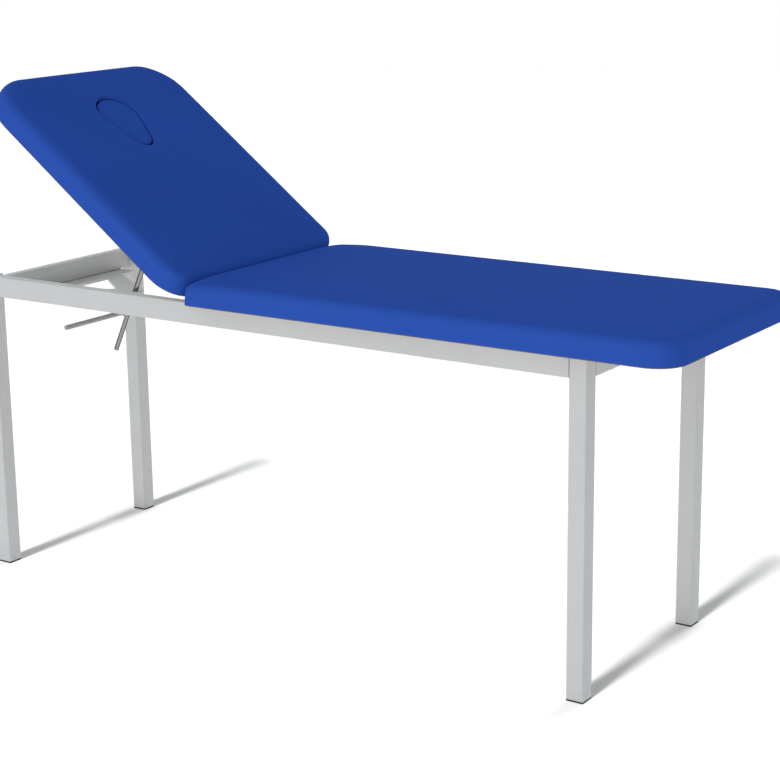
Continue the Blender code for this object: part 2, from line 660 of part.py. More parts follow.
def make_rod():
    pin_z = rod_pin_height(BACKREST_ANGLE)
    fork_foot = pin_z - FORK_BELOW_PIN
    rod_top = fork_foot + FORK_SOCKET
    rod = round_mesh(ROD_RADIUS, rod_top + ROD_TAIL)
    rod = add_piece("lock_rod", rod, chrome, at(0, 0, (rod_top - ROD_TAIL) / 2), rod_axis)
    stop_z = STOP_PIN_FROM_END - ROD_TAIL
    cut(rod, round_mesh(STOP_PIN_RADIUS + FIT_GAP, 4 * ROD_RADIUS), at(0, 0, stop_z, "Y"), rod_axis)
    stop = round_mesh(STOP_PIN_RADIUS, STOP_PIN_LENGTH)
    add_piece("rod_stop_pin", stop, zinc, at(0, 0, stop_z, "Y"), rod_axis)
    height = FORK_ABOVE_PIN + FORK_BELOW_PIN
    fork = block_mesh(FORK_WIDTH, FORK_DEPTH, height)
    fork = add_piece("rod_fork", fork, zinc, at(0, 0, fork_foot + height / 2), rod_axis)
    cut(fork, round_mesh(ROD_RADIUS + FIT_GAP, 2 * (FORK_SOCKET + FIT_GAP)), at(0, 0, fork_foot), rod_axis)
    pin_bore = TRACK_PIN_RADIUS + RUNNING_GAP
    cut(fork, round_mesh(pin_bore, 2 * FORK_DEPTH), at(0, 0, pin_z, "Y"), rod_axis)
    outer_face = TRACK_SPREAD + TRACK_PLATE / 2 + RUNNING_GAP
    head_start = outer_face + RUNNING_GAP
    pin = turned_mesh(
        (
            (CLIP_RADIUS, -head_start - CLIP_THICKNESS),
            (CLIP_RADIUS, -head_start),
            (TRACK_PIN_RADIUS, -head_start),
            (TRACK_PIN_RADIUS, head_start + 2 * CLIP_THICKNESS),
        )
    )
    add_piece("track_pin", pin, zinc, at(0, 0, pin_z, "Y"), rod_axis)
    clip = flat_mesh((circle(0, 0, CLIP_RADIUS), circle(0, 0, pin_bore)), CLIP_THICKNESS)
    clip_y = -head_start - CLIP_THICKNESS / 2
    add_piece("pin_clip", clip, zinc, at(0, clip_y, pin_z, "Y"), rod_axis)
    inner_face = FORK_DEPTH / 2 + RUNNING_GAP
    for side, sign in SIDES:
        roller = flat_mesh((circle(0, 0, ROLLER_RADIUS), circle(0, 0, pin_bore)), outer_face - inner_face)
        roller_y = sign * (outer_face + inner_face) / 2
        add_piece(f"track_roller_{side}", roller, white_nylon, at(0, roller_y, pin_z, "Y"), rod_axis)


def make_bracket():
    """A plate under the head rail: a base, two arms and a nose that the rod passes through."""
    rod_at_plate = (BRACKET_TOP - BRACKET_THICKNESS / 2 - BRAKE_HEIGHT) * math.tan(ROD_TILT)
    nose_x = BRAKE_FROM_HEAD + rod_at_plate
    lean = math.atan2(BRACKET_OPENING, BRACKET_APEX - BRACKET_BASE)
    arm_outside = BRACKET_OPENING + BRACKET_ARM / math.cos(lean)
    nose = arc(nose_x, 0, BRACKET_NOSE, math.degrees(lean) - 90, 90 - math.degrees(lean), 2 * CORNER_STEPS)
    half = [(BRACKET_BASE, arm_outside), (BRACKET_BASE, BRACKET_HALF_WIDTH), (0, BRACKET_HALF_WIDTH)]
    plate = nose + half + [(x, -y) for x, y in reversed(half)]
    opening = [(BRACKET_BASE, -BRACKET_OPENING), (BRACKET_APEX, 0), (BRACKET_BASE, BRACKET_OPENING)]
    slope = BRACKET_THICKNESS / 2 * math.tan(ROD_TILT)
    room_x = ROD_RADIUS / math.cos(ROD_TILT) + slope + 2 * RUNNING_GAP
    room_y = ROD_RADIUS + 2 * RUNNING_GAP
    rod_hole = [(nose_x + x * room_x, y * room_y) for x, y in circle(0, 0, 1)]
    bolt_x = RAIL_WIDTH / 2
    bolt_room = BOLT_RADIUS + FIT_GAP
    bolt_holes = [circle(bolt_x, sign * BRACKET_BOLT_SPREAD, bolt_room) for side, sign in SIDES]
    mesh = flat_mesh([plate, opening, rod_hole] + bolt_holes, BRACKET_THICKNESS)
    z = BRACKET_TOP - BRACKET_THICKNESS / 2
    add_piece("lock_bracket", mesh, grey_paint, at(HEAD_END_X, 0, z))
    below = BRACKET_TOP - BRACKET_THICKNESS - FIT_GAP
    for side, sign in SIDES:
        bolt = bolt_mesh(BRACKET_THICKNESS + BOLT_THROUGH)
        place = at(HEAD_END_X + bolt_x, sign * BRACKET_BOLT_SPREAD, below)
        add_piece(f"bracket_bolt_{side}", bolt, zinc, place)


def make_guide():
    """The block that the rod slides through, hung under the bracket's nose, and the lever's lugs on it."""
    slant = GUIDE_SIDE / 2 * math.tan(ROD_TILT)
    ceiling = BRACKET_TOP - BRACKET_THICKNESS - FIT_GAP
    to_ceiling = (ceiling - BRAKE_HEIGHT) / math.cos(ROD_TILT)
    guide_end = to_ceiling - slant
    length = to_ceiling + 2 * slant - GUIDE_START
    bore = circle(0, 0, ROD_RADIUS + RUNNING_GAP)
    corner = LEG_CORNER
    outline = rounded_rectangle(GUIDE_SIDE, GUIDE_SIDE, corner, TUBE_STEPS)
    guide = flat_mesh((outline, bore), length)
    guide = add_piece("rod_guide", guide, grey_paint, at(0, 0, GUIDE_START + length / 2), rod_axis)
    above = 6 * GUIDE_SIDE
    cut(guide, block_mesh(above, above, above), at(BRAKE_X, 0, ceiling + above / 2))
    back = corner - GUIDE_SIDE / 2
    lug = [(back, GUIDE_START), (LEVER_PIVOT - BRAKE_LUG_EYE, -BRAKE_LUG_EYE / 2)]
    lug += arc(LEVER_PIVOT, 0, BRAKE_LUG_EYE, -120, 30, CORNER_STEPS)
    lug += [(GUIDE_SIDE / 2, guide_end - corner), (back, guide_end - corner)]
    bore = circle(LEVER_PIVOT, 0, LEVER_PIN_RADIUS + RUNNING_GAP)
    lug_x = (GUIDE_SIDE + BRAKE_LUG_THICKNESS) / 2 + FIT_GAP
    for end, sign in (("head", -1), ("foot", 1)):
        mesh = flat_mesh((lug, bore), BRAKE_LUG_THICKNESS)
        add_piece(f"brake_lug_{end}", mesh, grey_paint, at(sign * lug_x, 0, 0, "X"), rod_axis)
    pin = round_mesh(LEVER_PIN_RADIUS, 2 * (lug_x + BRAKE_LUG_THICKNESS))
    add_piece("lever_pin", pin, zinc, at(0, LEVER_PIVOT, 0, "X"), rod_axis)
    make_lever()
    make_spring()


def make_lever():
    """A plate with an eye at its pivot and a hole for the rod, and the bar that lifts it."""
    half = BRAKE_THICKNESS / 2
    turn = math.degrees(math.asin(half / BRAKE_EYE))
    plate = arc(LEVER_PIVOT, 0, BRAKE_EYE, turn - 180, 180 - turn, 3 * CORNER_STEPS)
    plate += [(-BRAKE_REACH, half), (-BRAKE_REACH, -half)]
    bore = circle(LEVER_PIVOT, 0, LEVER_PIN_RADIUS + RUNNING_GAP)
    brake = flat_mesh((plate, bore), 2 * BRAKE_HALF_WIDTH)
    brake = add_piece("brake_plate", brake, zinc, at(0, 0, 0, "X"), rod_axis)
    cut(brake, round_mesh(ROD_RADIUS + LOOSE_GAP, 4 * BRAKE_THICKNESS), at(0, 0, 0), rod_axis)
    start = BRAKE_REACH + FIT_GAP
    bar = turned_mesh(
        (
            (LEVER_RADIUS, start),
            (LEVER_RADIUS, LEVER_END - LEVER_ROUND),
            (LEVER_RADIUS - LEVER_ROUND, LEVER_END),
        )
    )
    add_piece("release_lever", bar, grey_paint, at(0, 0, 0, "Y"), rod_axis)


def make_spring():
    """A compression spring round the rod, between the brake plate and the guide."""
    low = BRAKE_THICKNESS / 2 + FIT_GAP + SPRING_WIRE
    high = GUIDE_START - FIT_GAP - SPRING_WIRE
    count = SPRING_TURNS * CURL_POINTS
    points = []
    for i in range(count + 1):
        turn = 2 * math.pi * i / CURL_POINTS
        height = low + (high - low) * i / count
        points.append((SPRING_RADIUS * math.cos(turn), SPRING_RADIUS * math.sin(turn), height))
    curve = bpy.data.curves.new("lever_spring", "CURVE")
    curve.dimensions = "3D"
    curve.bevel_depth = SPRING_WIRE
    curve.bevel_resolution = 1
    curve.use_fill_caps = True
    spline = curve.splines.new("POLY")
    spline.points.add(count)
    for point, place in zip(spline.points, points):
        point.co = (*place, 1)
    add_piece("lever_spring", curve, zinc, at(0, 0, 0), rod_axis)
    rise = points[CURL_POINTS][2] - points[0][2]
    print(f"lever_spring: least gap between turns {(rise - 2 * SPRING_WIRE) * 1000:.2f} mm")


for old in list(bpy.data.objects):
    bpy.data.objects.remove(old)

couch = new_collection("examination_couch")
cutters = new_collection("cutters")

grey_paint = new_finish("grey_powder_coat", (0.58, 0.59, 0.59), 0.45)
black_plastic = new_finish("black_plastic", (0.02, 0.02, 0.02), 0.5)
blue_vinyl = new_finish("blue_vinyl", (0.018, 0.058, 0.27), 0.42)
plywood = new_finish("plywood", (0.45, 0.31, 0.18), 0.6)
chrome = new_finish("chrome", (0.75, 0.75, 0.76), 0.12, 1.0)
zinc = new_finish("zinc_plate", (0.55, 0.56, 0.57), 0.35, 1.0)
white_nylon = new_finish("white_nylon", (0.8, 0.8, 0.78), 0.4)

backrest_axis = new_axis("backrest_axis", HINGE_X, DECK_Z, BACKREST_ANGLE)
rod_axis = new_axis("rod_axis", BRAKE_X, BRAKE_HEIGHT, ROD_TILT)

make_legs()
make_rails()
make_crossbars()
make_seat()
make_hinges()
make_backrest()
make_plug()
make_track()
make_rod()
make_bracket()
make_guide()
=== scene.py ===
# %% [markdown]
# # An examination couch
# A couch of this kind is a welded steel frame with two upholstered boards on it. The longer cushion is
# fixed, and the shorter one tilts as a backrest and has a face hole with a loose plug. The CAD model is
# loaded as a fixed frame, so every new piece can be placed in metres, with no fitting by eye.

# %% Load the CAD frame
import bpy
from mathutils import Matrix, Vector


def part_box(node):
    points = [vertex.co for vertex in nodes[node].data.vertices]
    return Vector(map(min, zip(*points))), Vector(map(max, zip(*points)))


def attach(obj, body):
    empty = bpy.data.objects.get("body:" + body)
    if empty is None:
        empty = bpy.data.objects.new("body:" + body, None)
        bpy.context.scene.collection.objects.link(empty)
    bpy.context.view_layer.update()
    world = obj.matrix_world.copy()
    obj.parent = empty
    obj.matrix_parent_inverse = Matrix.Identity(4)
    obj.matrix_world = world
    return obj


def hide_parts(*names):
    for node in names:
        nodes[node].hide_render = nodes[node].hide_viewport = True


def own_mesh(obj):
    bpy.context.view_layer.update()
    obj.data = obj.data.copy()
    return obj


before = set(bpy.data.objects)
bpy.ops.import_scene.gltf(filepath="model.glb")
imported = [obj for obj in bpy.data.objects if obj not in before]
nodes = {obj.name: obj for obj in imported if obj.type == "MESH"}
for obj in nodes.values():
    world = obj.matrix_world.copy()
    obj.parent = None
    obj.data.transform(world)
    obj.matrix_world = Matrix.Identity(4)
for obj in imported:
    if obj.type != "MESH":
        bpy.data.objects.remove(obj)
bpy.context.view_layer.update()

# %% [markdown]
# ## The camera
# The photograph was taken from the foot end's right, a little above the cushions. A camera could be turned
# with a Track To constraint, but a slight roll is easier to give as three plain turns: the heading about
# the vertical, the pitch from straight down, and the roll about the line of sight.

# %% Place the camera
import math

import bpy
from mathutils import Matrix, Vector

scene = bpy.context.scene
CAMERA_PLACE = (2.48575, -3.523, 1.614)
CAMERA_HEADING = math.radians(34.32)
CAMERA_PITCH = math.radians(75.59)
CAMERA_ROLL = math.radians(-0.796)
CAMERA_LENS = 88.867
CAMERA_SENSOR = 36.0
lens = bpy.data.cameras.new("photo_camera")
lens.lens = CAMERA_LENS
lens.sensor_width = CAMERA_SENSOR
camera = bpy.data.objects.new("photo_camera", lens)
turn = Matrix.Rotation(CAMERA_HEADING, 4, "Z") @ Matrix.Rotation(CAMERA_PITCH, 4, "X")
turn = turn @ Matrix.Rotation(CAMERA_ROLL, 4, "Z")
camera.matrix_world = Matrix.Translation(CAMERA_PLACE) @ turn
scene.collection.objects.link(camera)
scene.camera = camera
scene.view_settings.view_transform = "Standard"
print("camera lens", lens.lens, "mm")

# %% [markdown]
# ## Colours and nodes
# Colours are easiest to read as hex values, but Blender's sockets want linear light. One function converts
# them. A second one adds a shader node with its settings and links, which keeps each material short enough
# to read from top to bottom.

# %% Define the colour and node helpers
def linear(hex_value):
    levels = [int(hex_value[i:i + 2], 16) / 255.0 for i in (1, 3, 5)]
    bent = [c / 12.92 if c <= 0.04045 else ((c + 0.055) / 1.055) ** 2.4 for c in levels]
    return (bent[0], bent[1], bent[2], 1.0)


def add_node(tree, kind, settings, inputs):
    made = tree.nodes.new(kind)
    for name, value in settings.items():
        setattr(made, name, value)
    for name, value in inputs.items():
        if isinstance(value, bpy.types.NodeSocket):
            tree.links.new(value, made.inputs[name])
        else:
            made.inputs[name].default_value = value
    return made


def new_material(name):
    material = bpy.data.materials.new(name)
    material.use_nodes = True
    material.node_tree.nodes.clear()
    return material, material.node_tree


print("middle grey in linear light is", round(linear("#808080")[0], 3))

# %% [markdown]
# ## The floor
# The couch stands on a plain pale floor that runs to the horizon. The floor is a flat disc. It shows as
# white to the camera and in reflections, and it sends a little less light back up to the couch, so that the
# frame's underside isn't lit too strongly. The Light Path node tells the two apart.

# %% Make the floor
import bmesh

FLOOR_RADIUS = 14.0
FLOOR_STEPS = 64
FLOOR_SHOWN = "#A3A2A1"
FLOOR_BOUNCE = "#9B9B9B"


def seen_directly(tree):
    path = add_node(tree, "ShaderNodeLightPath", {}, {})
    seen = add_node(tree, "ShaderNodeMath", {"operation": "ADD", "use_clamp": True},
                    {0: path.outputs["Is Camera Ray"], 1: path.outputs["Is Glossy Ray"]})
    seen = add_node(tree, "ShaderNodeMath", {"operation": "ADD", "use_clamp": True},
                    {0: seen.outputs[0], 1: path.outputs["Is Transmission Ray"]})
    return seen.outputs[0]


disc = bmesh.new()
bmesh.ops.create_circle(disc, cap_ends=True, segments=FLOOR_STEPS, radius=FLOOR_RADIUS)
floor_mesh = bpy.data.meshes.new("floor")
disc.to_mesh(floor_mesh)
disc.free()
floor = bpy.data.objects.new("floor", floor_mesh)
scene.collection.objects.link(floor)
material, tree = new_material("studio_floor")
seen = seen_directly(tree)
shade = add_node(tree, "ShaderNodeMix", {"data_type": "RGBA"},
                 {0: seen, 6: linear(FLOOR_BOUNCE), 7: linear(FLOOR_SHOWN)})
shader = add_node(tree, "ShaderNodeBsdfDiffuse", {}, {"Color": shade.outputs[2]})
add_node(tree, "ShaderNodeOutputMaterial", {}, {"Surface": shader.outputs[0]})
floor_mesh.materials.append(material)
print("floor of radius", FLOOR_RADIUS, "m")

# %% [markdown]
# ## The soft fill
# The photograph has a broad, soft light, as from pale walls and a white ceiling, and it is weaker from the
# foot end. Many large lamps could give it, but a bright world does the same and is simpler. Its strength
# depends on the direction. The camera and the reflections see it as plain white, as they do the floor.

# %% Make the world
WALL_FILL = 0.92
CEILING_FILL = 0.72
FOOT_END_SHARE = 0.54
FILL_TINT = "#EEF9FF"
world = bpy.data.worlds.new("studio")
world.use_nodes = True
scene.world = world
tree = world.node_tree
tree.nodes.clear()
seen = seen_directly(tree)
way = add_node(tree, "ShaderNodeTexCoord", {}, {}).outputs["Generated"]
way = add_node(tree, "ShaderNodeSeparateXYZ", {}, {0: way})
fill = add_node(tree, "ShaderNodeMapRange", {},
                {"Value": way.outputs[2], "To Min": WALL_FILL, "To Max": CEILING_FILL})
share = add_node(tree, "ShaderNodeMapRange", {},
                 {"Value": way.outputs[0], "To Min": 1.0, "To Max": FOOT_END_SHARE})
fill = add_node(tree, "ShaderNodeMath", {"operation": "MULTIPLY"}, {0: fill.outputs[0], 1: share.outputs[0]})
level = add_node(tree, "ShaderNodeMix", {"data_type": "FLOAT"}, {0: seen, 2: fill.outputs[0], 3: 1.0})
tint = add_node(tree, "ShaderNodeMix", {"data_type": "RGBA"},
                {0: seen, 6: linear(FILL_TINT), 7: linear("#FFFFFF")})
sky = add_node(tree, "ShaderNodeBackground", {}, {"Color": tint.outputs[2], "Strength": level.outputs[0]})
add_node(tree, "ShaderNodeOutputWorld", {}, {"Surface": sky.outputs[0]})
print("wall fill", WALL_FILL, "and ceiling fill", CEILING_FILL)

# %% [markdown]
# ## The softbox
# The side that faces the camera is a little brighter than the top. A large softbox in front, not far above
# the cushions, gives that and throws no hard edge. In Blender that is an area lamp. It is slightly warm, to
# balance the cool fill, and the camera doesn't see it.

# %% Make the softbox
SOFTBOX_WIDTH = 3.0
SOFTBOX_HEIGHT = 1.8
SOFTBOX_POWER = 50.0
SOFTBOX_COLOUR = (1.0, 0.95, 0.92)
SOFTBOX_PLACE = Vector((-0.2, -5.2, 1.0))
SOFTBOX_AIM = Vector((0.0, 0.0, 0.50))
softbox = bpy.data.lights.new("softbox", "AREA")
softbox.shape = "RECTANGLE"
softbox.size = SOFTBOX_WIDTH
softbox.size_y = SOFTBOX_HEIGHT
softbox.energy = SOFTBOX_POWER
softbox.color = SOFTBOX_COLOUR
softbox_object = bpy.data.objects.new("softbox", softbox)
softbox_object.location = SOFTBOX_PLACE
softbox_object.rotation_euler = (SOFTBOX_AIM - SOFTBOX_PLACE).to_track_quat("-Z", "Y").to_euler()
softbox_object.visible_camera = False
scene.collection.objects.link(softbox_object)
print("softbox", SOFTBOX_WIDTH, "by", SOFTBOX_HEIGHT, "m at", SOFTBOX_POWER, "W")

# %% [markdown]
# ## The floor lamps
# Each leg has a short grey shadow straight behind it, while the cushions cast none. A photo studio gets that
# with separate lamps for the floor. Here they are four suns that light only the floor and are blocked only by
# the legs, which Blender calls light linking. Three stand side by side in front, for the soft long part of
# each shadow, and one behind, for its short front end. Each is listed with its height and its heading in
# degrees and its share of the light.

# %% Make the floor lamps
FLOOR_LIGHT = 9.0
LAMP_SPREAD = math.radians(5.0)
LAMPS = ((54.0, -2.0, 0.28), (56.0, 0.0, 0.27), (54.0, 2.0, 0.28), (98.0, 0.0, 0.17))
lit = bpy.data.collections.new("lit_by_floor_lamps")
lit.objects.link(floor)
blocking = bpy.data.collections.new("casts_on_floor")
for name in nodes:
    if name.startswith(("leg_", "foot_cap_")):
        blocking.objects.link(nodes[name])
for height, heading, share in LAMPS:
    sun = bpy.data.lights.new("floor_lamp", "SUN")
    sun.energy = FLOOR_LIGHT * share
    sun.angle = LAMP_SPREAD
    lamp = bpy.data.objects.new("floor_lamp", sun)
    lamp.rotation_euler = (math.radians(90.0 - height), 0.0, math.radians(heading))
    scene.collection.objects.link(lamp)
    lamp.light_linking.receiver_collection = lit
    lamp.light_linking.blocker_collection = blocking

# %% [markdown]
# ## Powder coat
# The frame is mild steel tube with a satin, light grey powder coat. Baked powder flows into a skin with a
# faint orange peel and a soft highlight. The peel of the real coat is 1 to 2 mm wide, too fine to show from
# this distance, so it is drawn at 5 mm. Near the floor the legs are a little scuffed. The hand lever has the
# same coat painted in a darker grey. This is painted shade, for the shade the lever lies in under the table.

# %% Make the powder coat
PEEL_SIZE = 0.005
PATCH_SIZE = 0.18
SCUFF_SIZE = 0.012
SCUFF_HEIGHT = 0.10


def powder_coat(name, dark, light):
    material, tree = new_material(name)
    place = add_node(tree, "ShaderNodeTexCoord", {}, {}).outputs["Object"]
    patch = add_node(tree, "ShaderNodeTexNoise", {},
                     {"Vector": place, "Scale": 1.0 / PATCH_SIZE, "Detail": 3.0})
    colour = add_node(tree, "ShaderNodeMix", {"data_type": "RGBA"},
                      {0: patch.outputs[0], 6: linear(dark), 7: linear(light)})
    scuff = add_node(tree, "ShaderNodeTexNoise", {},
                     {"Vector": place, "Scale": 1.0 / SCUFF_SIZE, "Detail": 6.0, "Roughness": 0.65})
    height = add_node(tree, "ShaderNodeSeparateXYZ", {}, {0: place})
    low = add_node(tree, "ShaderNodeMapRange", {},
                   {"Value": height.outputs[2], "From Min": SCUFF_HEIGHT, "From Max": 0.0, "To Max": 0.5})
    worn = add_node(tree, "ShaderNodeMapRange", {},
                    {"Value": scuff.outputs[0], "From Min": 0.52, "From Max": 0.72, "To Max": low.outputs[0]})
    colour = add_node(tree, "ShaderNodeMix", {"data_type": "RGBA"},
                      {0: worn.outputs[0], 6: colour.outputs[2], 7: linear("#9A9B9B")})
    gloss = add_node(tree, "ShaderNodeMapRange", {},
                     {"Value": scuff.outputs[0], "To Min": 0.34, "To Max": 0.46})
    peel = add_node(tree, "ShaderNodeTexNoise", {},
                    {"Vector": place, "Scale": 1.0 / PEEL_SIZE, "Detail": 1.0})
    bump = add_node(tree, "ShaderNodeBump", {},
                    {"Strength": 0.12, "Distance": 0.0004, "Height": peel.outputs[0]})
    shader = add_node(tree, "ShaderNodeBsdfPrincipled", {},
                      {"Base Color": colour.outputs[2], "Roughness": gloss.outputs[0], "IOR": 1.5,
                       "Normal": bump.outputs[0]})
    add_node(tree, "ShaderNodeOutputMaterial", {}, {"Surface": shader.outputs[0]})
    return material


light_grey_coat = powder_coat("satin_powder_coat", "#BDBCBC", "#C8C7C7")
# The lever's darker copy of the coat is painted shade, for the shade it lies in under the table.
shaded_grey_coat = powder_coat("painted_shade_powder_coat", "#8E9091", "#9C9D9F")
print("made", light_grey_coat.name, "and", shaded_grey_coat.name)

# %% [markdown]
# ## Moulded plastics
# The legs end in pressed-in polyethylene caps, moulded in black with a fine spark-eroded grain that makes
# them matt. The two rollers in the backrest's track are white nylon, which is smoother and a little waxy.
# Both are plain injection mouldings, so one function makes them with different colours and grain.

# %% Make the moulded plastics
def moulded_plastic(name, dark, light, roughness, grain_size):
    material, tree = new_material(name)
    place = add_node(tree, "ShaderNodeTexCoord", {}, {}).outputs["Object"]
    grain = add_node(tree, "ShaderNodeTexNoise", {},
                     {"Vector": place, "Scale": 1.0 / grain_size, "Detail": 3.0})
    colour = add_node(tree, "ShaderNodeMix", {"data_type": "RGBA"},
                      {0: grain.outputs[0], 6: linear(dark), 7: linear(light)})
    gloss = add_node(tree, "ShaderNodeMapRange", {},
                     {"Value": grain.outputs[0], "To Min": roughness - 0.06, "To Max": roughness + 0.06})
    bump = add_node(tree, "ShaderNodeBump", {},
                    {"Strength": 0.25, "Distance": 0.0003, "Height": grain.outputs[0]})
    shader = add_node(tree, "ShaderNodeBsdfPrincipled", {},
                      {"Base Color": colour.outputs[2], "Roughness": gloss.outputs[0], "IOR": 1.51,
                       "Normal": bump.outputs[0]})
    add_node(tree, "ShaderNodeOutputMaterial", {}, {"Surface": shader.outputs[0]})
    return material


black_polyethylene = moulded_plastic("black_polyethylene", "#141415", "#222223", 0.55, 0.0012)
white_nylon = moulded_plastic("white_nylon", "#D9D6CE", "#E9E7E0", 0.42, 0.0025)
print("made", black_polyethylene.name, "and", white_nylon.name)

# %% [markdown]
# ## Plated metals
# The lock rod is chromed steel, drawn through a die, so it carries very fine lines along its length. Pins,
# bolts, screws and the spring are zinc plated, which is duller and a little bluish, with soft blotches where
# the passivation is thicker. Both are true metals, so their colour is in the reflection. Towards their edges
# both are painted darker, a painted reflection of the dark sides of the studio, made with the Layer Weight
# node.

# %% Make the plated metals
def plated_metal(name, dark, light, painted_edge_reflection, smooth, rough, blotch_size):
    material, tree = new_material(name)
    place = add_node(tree, "ShaderNodeTexCoord", {}, {}).outputs["Object"]
    blotch = add_node(tree, "ShaderNodeTexNoise", {},
                      {"Vector": place, "Scale": 1.0 / blotch_size, "Detail": 4.0, "Roughness": 0.6})
    colour = add_node(tree, "ShaderNodeMix", {"data_type": "RGBA"},
                      {0: blotch.outputs[0], 6: linear(dark), 7: linear(light)})
    # Painted reflection: towards grazing angles the colour turns to the darker edge colour.
    facing = add_node(tree, "ShaderNodeLayerWeight", {}, {"Blend": 0.5})
    turned = add_node(tree, "ShaderNodeMapRange", {},
                      {"Value": facing.outputs["Facing"], "From Min": 0.12, "From Max": 0.45})
    colour = add_node(tree, "ShaderNodeMix", {"data_type": "RGBA"},
                      {0: turned.outputs[0], 6: colour.outputs[2], 7: linear(painted_edge_reflection)})
    gloss = add_node(tree, "ShaderNodeMapRange", {},
                     {"Value": blotch.outputs[0], "From Min": 0.3, "From Max": 0.7, "To Min": smooth,
                      "To Max": rough})
    bump = add_node(tree, "ShaderNodeBump", {},
                    {"Strength": 0.08, "Distance": 0.0002, "Height": blotch.outputs[0]})
    shader = add_node(tree, "ShaderNodeBsdfPrincipled", {},
                      {"Base Color": colour.outputs[2], "Metallic": 1.0, "Roughness": gloss.outputs[0],
                       "Normal": bump.outputs[0]})
    add_node(tree, "ShaderNodeOutputMaterial", {}, {"Surface": shader.outputs[0]})
    return material


bright_chrome = plated_metal("bright_chrome", "#8C8B8E", "#A4A3A6", "#39383B", 0.10, 0.22, 0.006)
zinc_plate = plated_metal("zinc_plate", "#9C9FA4", "#BCBEC0", "#8E9196", 0.28, 0.42, 0.008)
print("made", bright_chrome.name, "and", zinc_plate.name)

# %% [markdown]
# ## Birch plywood
# Under each cushion is a 15 mm birch board with a pale grey wash. Its faces show long grain and its edges
# show the plies as thin stripes. The stripes come from the height in the board, so for the tilted backrest
# the pattern is turned with the board by a Mapping node.

# %% Make the plywood
PLY_THICKNESS = 0.0014
GRAIN_WIDTH = 0.006
GRAIN_LENGTH = 0.12


def birch_plywood(name, tilt):
    material, tree = new_material(name)
    place = add_node(tree, "ShaderNodeTexCoord", {}, {}).outputs["Object"]
    level = add_node(tree, "ShaderNodeMapping", {}, {"Vector": place, "Rotation": (0.0, tilt, 0.0)})
    along = add_node(tree, "ShaderNodeMapping", {},
                     {"Vector": level.outputs[0],
                      "Scale": (1.0 / GRAIN_LENGTH, 1.0 / GRAIN_WIDTH, 1.0 / GRAIN_WIDTH)})
    grain = add_node(tree, "ShaderNodeTexNoise", {},
                     {"Vector": along.outputs[0], "Scale": 1.0, "Detail": 5.0, "Distortion": 0.6})
    colour = add_node(tree, "ShaderNodeMix", {"data_type": "RGBA"},
                      {0: grain.outputs[0], 6: linear("#ADA9A1"), 7: linear("#CAC7BF")})
    parts = add_node(tree, "ShaderNodeSeparateXYZ", {}, {0: level.outputs[0]})
    plies = add_node(tree, "ShaderNodeMath", {"operation": "PINGPONG"},
                     {0: parts.outputs[2], 1: PLY_THICKNESS})
    stripe = add_node(tree, "ShaderNodeMapRange", {},
                      {"Value": plies.outputs[0], "From Min": PLY_THICKNESS * 0.4,
                       "From Max": PLY_THICKNESS * 0.6, "To Max": 0.45})
    colour = add_node(tree, "ShaderNodeMix", {"data_type": "RGBA"},
                      {0: stripe.outputs[0], 6: colour.outputs[2], 7: linear("#94887A")})
    bump = add_node(tree, "ShaderNodeBump", {},
                    {"Strength": 0.2, "Distance": 0.0003, "Height": grain.outputs[0]})
    shader = add_node(tree, "ShaderNodeBsdfPrincipled", {},
                      {"Base Color": colour.outputs[2], "Roughness": 0.62, "IOR": 1.5,
                       "Normal": bump.outputs[0]})
    add_node(tree, "ShaderNodeOutputMaterial", {}, {"Surface": shader.outputs[0]})
    return material


BACKREST_TILT = math.radians(36.8)
flat_plywood = birch_plywood("birch_plywood_flat", 0.0)
tilted_plywood = birch_plywood("birch_plywood_tilted", -BACKREST_TILT)
print("made", flat_plywood.name, "and", tilted_plywood.name)

# %% [markdown]
# ## Finish the CAD nodes
# Every CAD node that stays in view takes one of these finishes. The record lists a material slot for each
# node, so the assignment is a loop over slots and not a list of pieces.

# %% Assign the finishes
finish_of = {
    "grey_paint": light_grey_coat,
    "black_plastic": black_polyethylene,
    "chrome": bright_chrome,
    "zinc": zinc_plate,
    "white_nylon": white_nylon,
}
for name, piece in nodes.items():
    slot = piece.data.materials[0].name
    if slot in finish_of:
        piece.data.materials[0] = finish_of[slot]
for name in ("backrest_board", "plug_base"):
    nodes[name].data.materials[0] = tilted_plywood
nodes["seat_board"].data.materials[0] = flat_plywood
# The lever takes the darker coat, which is painted shade.
nodes["release_lever"].data.materials[0] = shaded_grey_coat
print("finished", len(nodes), "nodes")

# %% [markdown]
# ## Vinyl
# The cushions are covered in a blue vinyl-coated upholstery fabric with a fine embossed leather grain. The
# real grain is about 1 mm, too fine to show, so it is drawn at 3 mm. The coating is nearly matt, and where it
# is pulled tight over an edge it is a little paler, which an attribute on the mesh carries.

# %% Make the vinyl
GRAIN_SIZE = 0.003
SHADE_SIZE = 0.22
PALER_SHARE = 0.35


